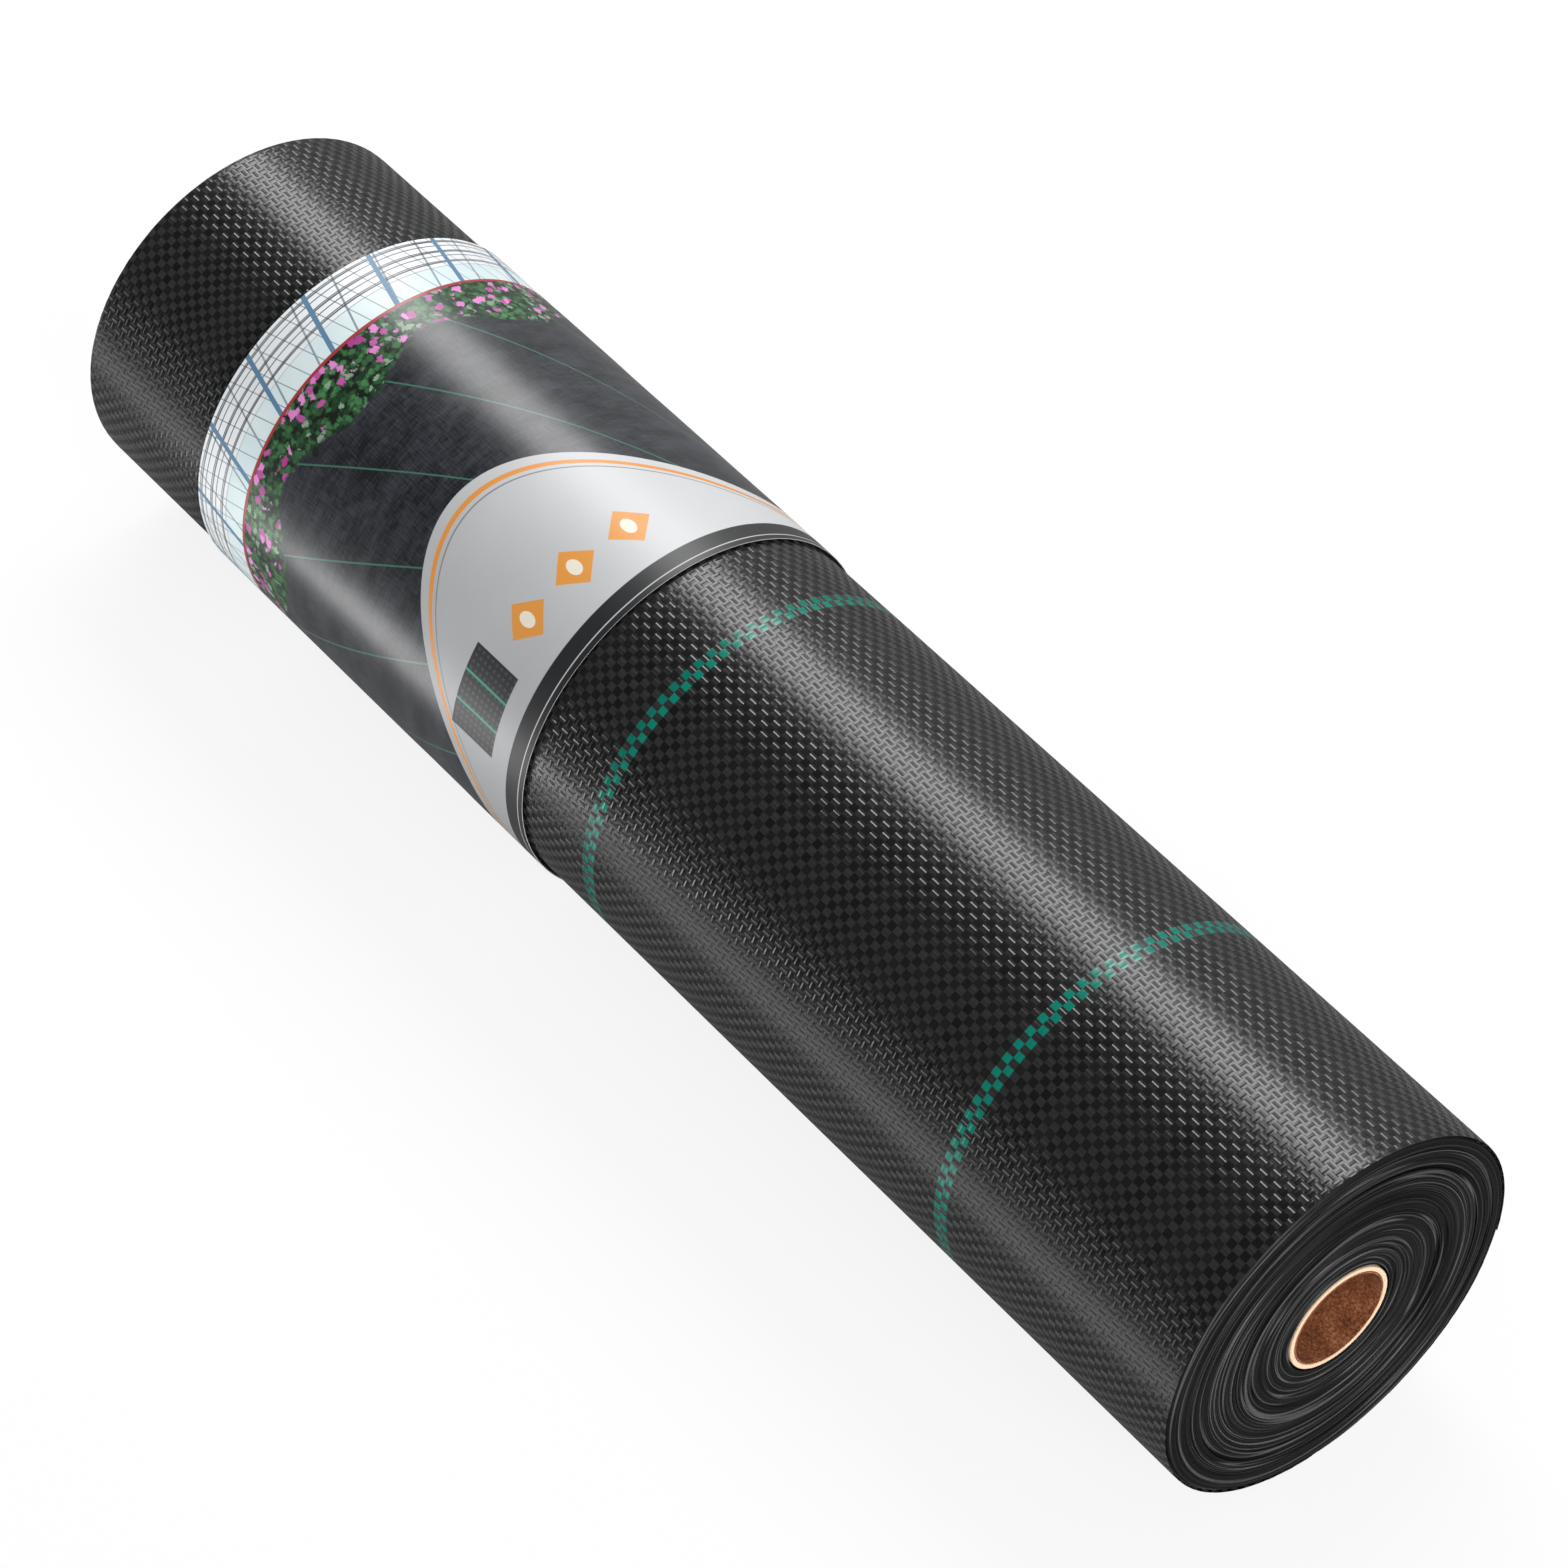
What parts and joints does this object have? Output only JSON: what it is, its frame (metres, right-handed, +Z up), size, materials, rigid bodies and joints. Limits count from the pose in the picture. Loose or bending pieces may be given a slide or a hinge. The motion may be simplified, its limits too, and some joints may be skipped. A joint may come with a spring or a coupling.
{
  "type": "weed control fabric roll",
  "caption": "Wide roll of black woven ground cover cloth on an open cardboard tube, with green marker lines, a lifting free end and a printed paper sleeve that slides off.",
  "frame": {"origin": "on the ground below the middle of the roll", "axes": "+X along the roll's axis towards its near end, away from the sleeve; +Z up; the free end is on the +Y side"},
  "size_m": [1, 0.2464, 0.2434],
  "materials": {
    "black_cloth": "satin",
    "green_tape": "satin",
    "core_board": "matte",
    "kraft_liner": "matte",
    "clear_film": "gloss",
    "printed_paper": "satin",
    "glue_strip": "satin"
  },
  "bodies": {
    "roll": {"core_tube": "core_board", "core_liner": "kraft_liner", "start_tape": "clear_film", "fabric_winding": "black_cloth", "fabric_outer_turn": "black_cloth", "marker_tape_1a": "green_tape", "marker_tape_1b": "green_tape", "marker_tape_2a": "green_tape", "marker_tape_2b": "green_tape", "marker_tape_3a": "green_tape", "marker_tape_3b": "green_tape", "end_tape_far": "clear_film"},
    "free_end": {"free_end_flap": "black_cloth", "free_marker_tape_1a": "green_tape", "free_marker_tape_1b": "green_tape", "free_marker_tape_2a": "green_tape", "free_marker_tape_2b": "green_tape", "end_tape_near": "clear_film", "end_tape_middle": "clear_film"},
    "label": {"label_sleeve": "printed_paper", "label_glue_strip": "glue_strip"}
  },
  "joints": [
    {"name": "label_slide", "type": "slide", "parent": "roll", "child": "label", "axis": [-1, 0, 0], "range_m": [0, 0.44]},
    {"name": "free_end_lift", "type": "hinge", "parent": "roll", "child": "free_end", "pos_m": [0.2, 0.10657, 0.17686], "axis": [1, 0, 0], "range_deg": [0, 120]}
  ]
}
